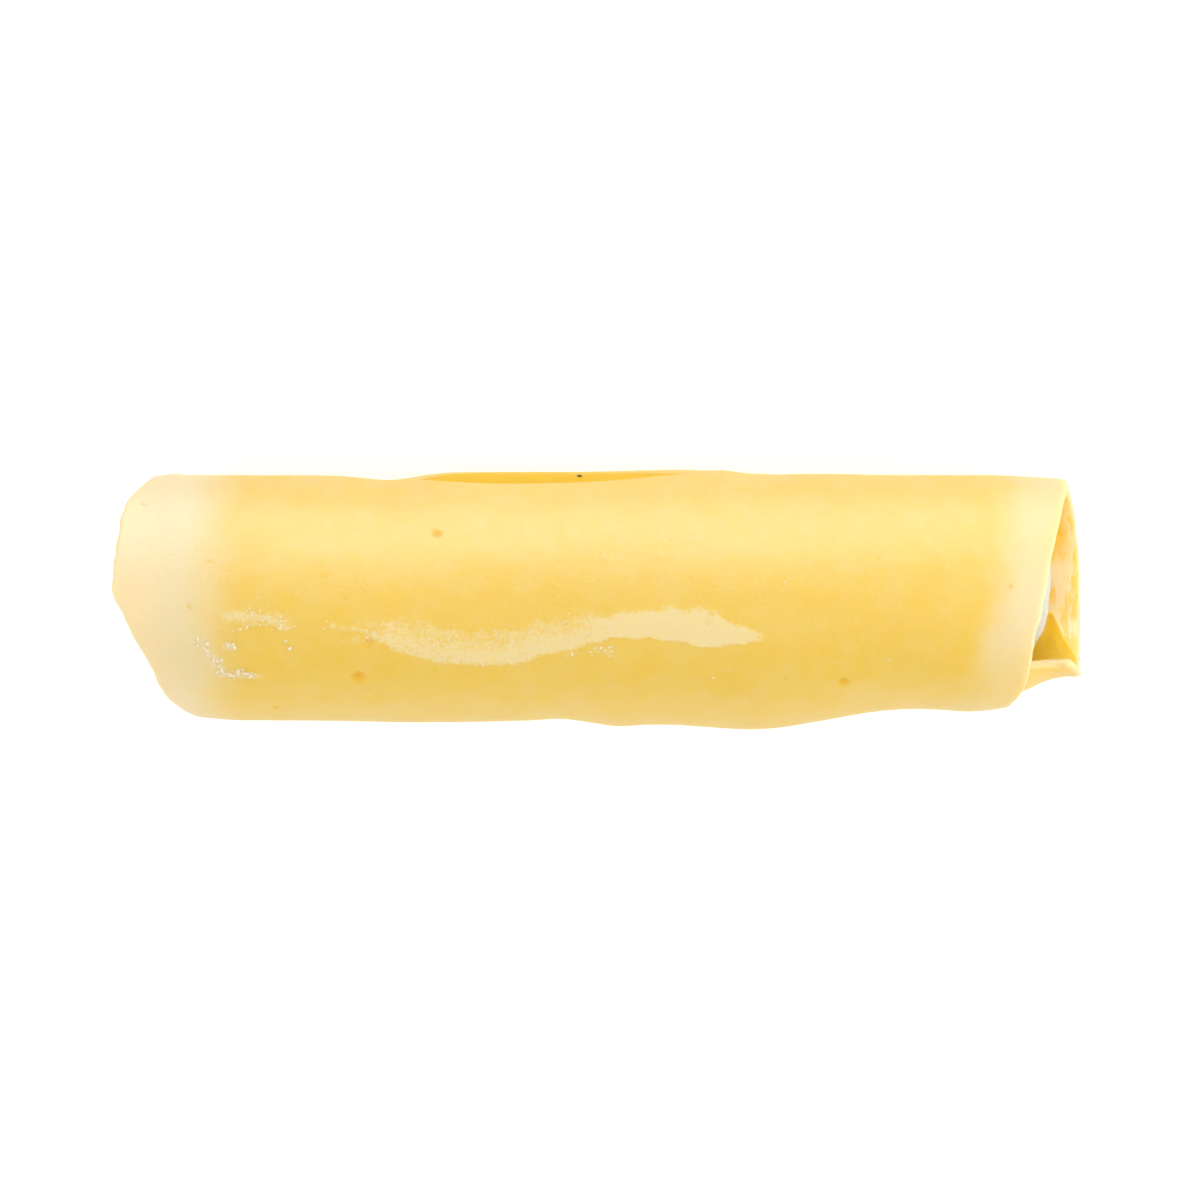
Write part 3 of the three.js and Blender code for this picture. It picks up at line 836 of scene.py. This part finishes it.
def pastaMaterial(name, specular, scatterDepth):
    # the plain pasta and that of the painted shade differ only in their sheen and in how deep light goes into them
    material, tree, shader = newMaterial(name)
    mottle = remap(tree, noise(tree, pastaLook["mottleSize"]), *pastaLook["mottleLevels"], 0.0, 1.0)
    colour = mixColour(tree, mottle, pastaLook["body"], pastaLook["bodyLight"])
    for key in ("lipShade", "litInside", "hollowShade", "pale", "cutFace", "stainShade"):
        colour = mixColour(tree, attribute(tree, key), colour, pastaLook[key])
    # streaks of the painted hollow shade round the inside of the mouths: noise drawn out along Y, only where
    # the painted light of the inside is
    streaks = noise(tree, pastaLook["streakSize"], 3.0, 0.6, pastaLook["streakSqueeze"])
    streaks = remap(tree, streaks, *pastaLook["streakLevels"], 0.0, pastaLook["streakStrength"])
    colour = mixColour(tree, combine(tree, "MULTIPLY", attribute(tree, "litInside"), streaks), colour, pastaLook["hollowShade"])
    # flour grains: the flour field plus fine noise, cut off softly, so thin flour breaks up into specks
    strength = pastaLook["grainStrength"]
    grains = remap(tree, noise(tree, pastaLook["grainSize"], 2.0), *pastaLook["grainLevels"], -strength, strength)
    flour = combine(tree, "ADD", attribute(tree, "flour"), grains)
    flour = remap(tree, flour, *pastaLook["flourLevels"], 0.0, pastaLook["flourStrength"])
    colour = mixColour(tree, flour, colour, pastaLook["flour"])
    tree.links.new(colour, shader.inputs["Base Color"])
    rough = remap(tree, combine(tree, "MAXIMUM", flour, attribute(tree, "stainShade")), 0.0, 1.0,
                  pastaLook["roughness"], pastaLook["dryRoughness"])
    tree.links.new(rough, shader.inputs["Roughness"])
    shader.inputs["IOR"].default_value = pastaLook["ior"]
    shader.inputs["Specular IOR Level"].default_value = specular
    shader.inputs["Subsurface Weight"].default_value = pastaLook["scatter"]
    shader.inputs["Subsurface Radius"].default_value = pastaLook["scatterRadius"]
    shader.inputs["Subsurface Scale"].default_value = scatterDepth
    fine = noise(tree, pastaLook["bumpSize"], 4.0, 0.6)
    addBump(tree, shader, fine, pastaLook["bumpHeight"], pastaLook["bumpStrength"])
    return material


cheeseLook = {
    "body": (0.67, 0.64, 0.55),
    "shade": (0.59, 0.56, 0.47),
    "roughness": 0.6,
    "mottleSize": 0.0012,  # metres, like the next two
    "bumpSize": 0.0006,
    "bumpHeight": 0.0004,
    "bumpStrength": 0.8,
}


def cheeseMaterial():
    # two whites in soft patches, over coarse curd
    material, tree, shader = newMaterial("freshCheese")
    colour = mixColour(tree, noise(tree, cheeseLook["mottleSize"]), cheeseLook["shade"], cheeseLook["body"])
    tree.links.new(colour, shader.inputs["Base Color"])
    shader.inputs["Roughness"].default_value = cheeseLook["roughness"]
    curd = noise(tree, cheeseLook["bumpSize"], 5.0, 0.65)
    addBump(tree, shader, curd, cheeseLook["bumpHeight"], cheeseLook["bumpStrength"])
    return material


flourLook = {"body": (0.95, 0.79, 0.50), "roughness": 0.9}
speckLook = {"body": (0.16, 0.11, 0.06), "roughness": 0.8}


def plainMaterial(name, look):
    # one colour and one roughness
    material, _, shader = newMaterial(name)
    shader.inputs["Base Color"].default_value = (*look["body"], 1)
    shader.inputs["Roughness"].default_value = look["roughness"]
    return material


sheet.data.materials.append(pastaMaterial("freshPasta", pastaLook["specular"], pastaLook["scatterDepth"]))
sheet.data.materials.append(pastaMaterial("shadedPasta", pastaLook["shadedSpecular"], pastaLook["shadedScatterDepth"]))
core.data.materials.append(cheeseMaterial())
dust.data.materials.append(plainMaterial("dryFlour", flourLook))
crumb.data.materials.append(plainMaterial("darkBran", speckLook))
print("materials done")


studio = {
    "floor": (0.55, 0.55, 0.55),
    "floorHalf": 1.5,  # metres, like every length here
    "floorRoughness": 0.9,
    "floorGlow": 0.62,  # keeps the table white and its shadow faint
    "sky": 0.44,
    # soft panels: place, power in watts, size, and whether it gives soft light, sheen or both
    "panels": {
        "sheenLight": ((-0.02, 0.48, 0.27), 3.1, 0.6, "sheen"),
        "fillLight": ((0.08, -0.08, 0.6), 1.9, 0.6, "soft"),
        "farLight": ((0.0, 0.5, 0.08), 0.54, 0.3, "soft"),
        "rightLight": ((0.46, 0.12, 0.2), 0.55, 0.35, "both"),
        "mouthLight": ((0.14, 0.01, 0.03), 0.037, 0.04, "soft"),
        "leftLight": ((-0.5, 0.0, 0.4), 0.8, 0.4, "both"),
    },
    "panelsAim": (0, 0, 0.012),
    "cameraAim": (0, 0, 0.0115),
    "distance": 1.5,
    "offVertical": 5.6,  # degrees, towards +Y
    "frameWidth": 0.129,
    "sensor": 36,  # millimetres
}


def makeFloor():
    # a matt white table that glows a little
    half = studio["floorHalf"]
    mesh = bpy.data.meshes.new("table")
    mesh.from_pydata([(-half, -half, 0), (half, -half, 0), (half, half, 0), (-half, half, 0)], [], [(0, 1, 2, 3)])
    floor = bpy.data.objects.new("table", mesh)
    bpy.context.scene.collection.objects.link(floor)
    material, _, shader = newMaterial("tableWhite")
    shader.inputs["Base Color"].default_value = (*studio["floor"], 1)
    shader.inputs["Roughness"].default_value = studio["floorRoughness"]
    shader.inputs["Specular IOR Level"].default_value = 0.0
    shader.inputs["Emission Color"].default_value = (1, 1, 1, 1)
    shader.inputs["Emission Strength"].default_value = studio["floorGlow"]
    mesh.materials.append(material)


def softLight(name, place, power, size, gives):
    # a square panel that faces the roll
    light = bpy.data.lights.new(name, "AREA")
    light.energy, light.size = power, size
    lamp = bpy.data.objects.new(name, light)
    lamp.location = place
    lamp.visible_camera = False
    lamp.visible_glossy = gives != "soft"
    lamp.visible_diffuse = gives != "sheen"
    lamp.rotation_euler = (Vector(studio["panelsAim"]) - Vector(place)).to_track_quat("-Z", "Y").to_euler()
    bpy.context.scene.collection.objects.link(lamp)


def makeStudio():
    # the table, the panels, and a plain white sky that fills the shadows
    makeFloor()
    for name, panel in studio["panels"].items():
        softLight(name, *panel)
    world = bpy.data.worlds.new("softWhite")
    world.use_nodes = True
    world.node_tree.nodes["Background"].inputs["Color"].default_value = (1, 1, 1, 1)
    world.node_tree.nodes["Background"].inputs["Strength"].default_value = studio["sky"]
    bpy.context.scene.world = world
    bpy.context.scene.view_settings.view_transform = "Standard"


def makeCamera():
    # lens = sensor * distance / frameWidth, so the picture shows that width at the roll
    lens = bpy.data.cameras.new("camera")
    lens.sensor_width = studio["sensor"]
    lens.lens = studio["sensor"] * studio["distance"] / studio["frameWidth"]
    lens.clip_start, lens.clip_end = 0.01, 10
    camera = bpy.data.objects.new("camera", lens)
    tilt = math.radians(studio["offVertical"])
    away = Vector((0, math.sin(tilt), math.cos(tilt))) * studio["distance"]
    camera.location = away + Vector(studio["cameraAim"])
    camera.rotation_euler = (-tilt, 0, 0)
    bpy.context.scene.collection.objects.link(camera)
    bpy.context.scene.camera = camera


makeStudio()
makeCamera()
print("studio and camera done")
